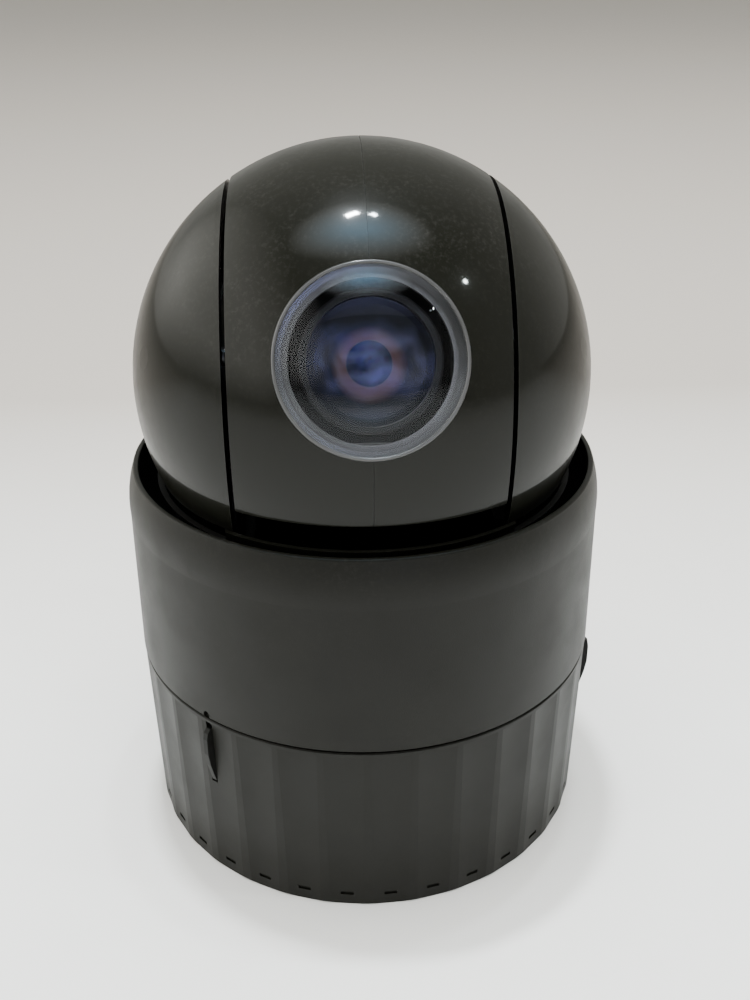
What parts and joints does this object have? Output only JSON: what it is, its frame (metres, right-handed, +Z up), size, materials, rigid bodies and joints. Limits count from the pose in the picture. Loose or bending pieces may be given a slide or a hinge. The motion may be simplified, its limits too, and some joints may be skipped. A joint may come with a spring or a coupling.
{
  "type": "ptz camera",
  "caption": "Pan-tilt-zoom dome camera drive: a glossy camera ball in a round collar on a fluted base ring with sprung side catches.",
  "frame": {"origin": "centre of the flat underside of the base, on the pan axis", "axes": "+Z up along the pan axis, -Y the front (the way the lens faces at rest), +X to the right of someone looking at the front"},
  "size_m": [0.1341, 0.134, 0.1945],
  "materials": {
    "satin_black_plastic": "fine satin moulded",
    "gloss_black_plastic": "polished",
    "inner_black_plastic": "matt moulded",
    "catch_black": "smooth moulded",
    "clear_cover": "clear, polished",
    "coated_glass": "coated optical glass",
    "lens_black": "matt anodised",
    "baffle_brown": "satin",
    "bright_rim": "polished edge",
    "cast_alloy": "bead-blasted casting",
    "sheet_steel": "zinc plated",
    "bearing_steel": "ground",
    "screw_steel": "dark zinc",
    "gear_white": "machined acetal",
    "brass": "turned",
    "motor_can": "plated can",
    "board_green": "solder mask",
    "chip_black": "moulded"
  },
  "bodies": {
    "base": {"base_ring": "satin_black_plastic", "base_plate": "satin_black_plastic", "plate_screws": "screw_steel", "collar": "satin_black_plastic", "bearing_deck": "cast_alloy", "deck_screws": "screw_steel", "main_board": "board_green", "board_components": "chip_black", "board_standoffs": "brass", "dock_connector": "inner_black_plastic", "slip_ring_stator": "inner_black_plastic", "pan_bearing_outer": "bearing_steel", "pan_bearing_balls": "bearing_steel", "pan_motor": "motor_can", "catch_guides": "inner_black_plastic", "catch_springs": "bearing_steel"},
    "yoke": {"turntable_hub": "cast_alloy", "hub_screws": "screw_steel", "pan_gear": "gear_white", "pan_bearing_inner": "bearing_steel", "bearing_clip": "sheet_steel", "slip_ring_rotor": "inner_black_plastic", "yoke_bowl": "inner_black_plastic", "skirt_strips": "gloss_black_plastic", "tilt_arm_right": "sheet_steel", "tilt_arm_left": "sheet_steel", "arm_screws": "screw_steel", "tilt_bushes": "brass", "side_cap_right": "gloss_black_plastic", "side_cap_left": "gloss_black_plastic", "cap_screws": "screw_steel", "tilt_motor": "motor_can", "driver_board": "board_green"},
    "head": {"tilt_shell_left": "gloss_black_plastic", "tilt_shell_right": "gloss_black_plastic", "shell_screws": "screw_steel", "window_bezel": "bright_rim", "lens_window": "clear_cover", "camera_block": "lens_black", "lens_barrel": "lens_black", "front_lens": "coated_glass", "lens_baffle": "baffle_brown", "guide_rods": "bearing_steel", "iris_plate": "lens_black", "sensor_board": "board_green", "camera_bracket": "sheet_steel", "trunnion_right": "bearing_steel", "trunnion_left": "bearing_steel", "trunnion_clips": "sheet_steel", "tilt_gear": "gear_white"},
    "zoom_group": {"zoom_cell": "lens_black", "zoom_lens": "coated_glass"},
    "focus_group": {"focus_cell": "lens_black", "focus_lens": "coated_glass"},
    "pan_drive": {"pan_pinion": "brass", "pan_motor_shaft": "bearing_steel"},
    "tilt_drive": {"tilt_pinion": "brass"},
    "catch_left": {"catch_1": "catch_black"},
    "catch_right": {"catch_2": "catch_black"},
    "catch_rear": {"catch_3": "catch_black"}
  },
  "joints": [
    {"name": "pan", "type": "hinge", "parent": "base", "child": "yoke", "pos_m": [0, 0, 0.06], "axis": [0, 0, 1], "continuous": true},
    {"name": "tilt", "type": "hinge", "parent": "yoke", "child": "head", "pos_m": [0, 0, 0.1325], "axis": [-1, 0, 0], "range_deg": [-22.8, 67.2]},
    {"name": "pan_pinion_spin", "type": "hinge", "parent": "base", "child": "pan_drive", "pos_m": [0.02603, 0.03102, 0.06], "axis": [0, 0, 1], "continuous": true},
    {"name": "tilt_pinion_spin", "type": "hinge", "parent": "yoke", "child": "tilt_drive", "pos_m": [0.0346, 0, 0.11], "axis": [-1, 0, 0], "range_deg": [-270, 92]},
    {"name": "zoom_travel", "type": "slide", "parent": "head", "child": "zoom_group", "axis": [0, 0.9219, -0.3875], "range_m": [0, 0.0075]},
    {"name": "focus_travel", "type": "slide", "parent": "head", "child": "focus_group", "axis": [0, 0.9219, -0.3875], "range_m": [-0.003, 0.008]},
    {"name": "catch_left_press", "type": "slide", "parent": "base", "child": "catch_left", "axis": [0.6626, 0.749, 0], "range_m": [0, 0.0016], "stiffness_N_per_m": 400, "springref_m": -0.001},
    {"name": "catch_right_press", "type": "slide", "parent": "base", "child": "catch_right", "axis": [-0.9799, 0.1994, 0], "range_m": [0, 0.0016], "stiffness_N_per_m": 400, "springref_m": -0.001},
    {"name": "catch_rear_press", "type": "slide", "parent": "base", "child": "catch_rear", "axis": [0.3173, -0.9483, 0], "range_m": [0, 0.0016], "stiffness_N_per_m": 400, "springref_m": -0.001}
  ],
  "couplings": [
    {"joint": "pan_pinion_spin", "follows": "pan", "ratio": -8},
    {"joint": "tilt_pinion_spin", "follows": "tilt", "ratio": -4}
  ]
}
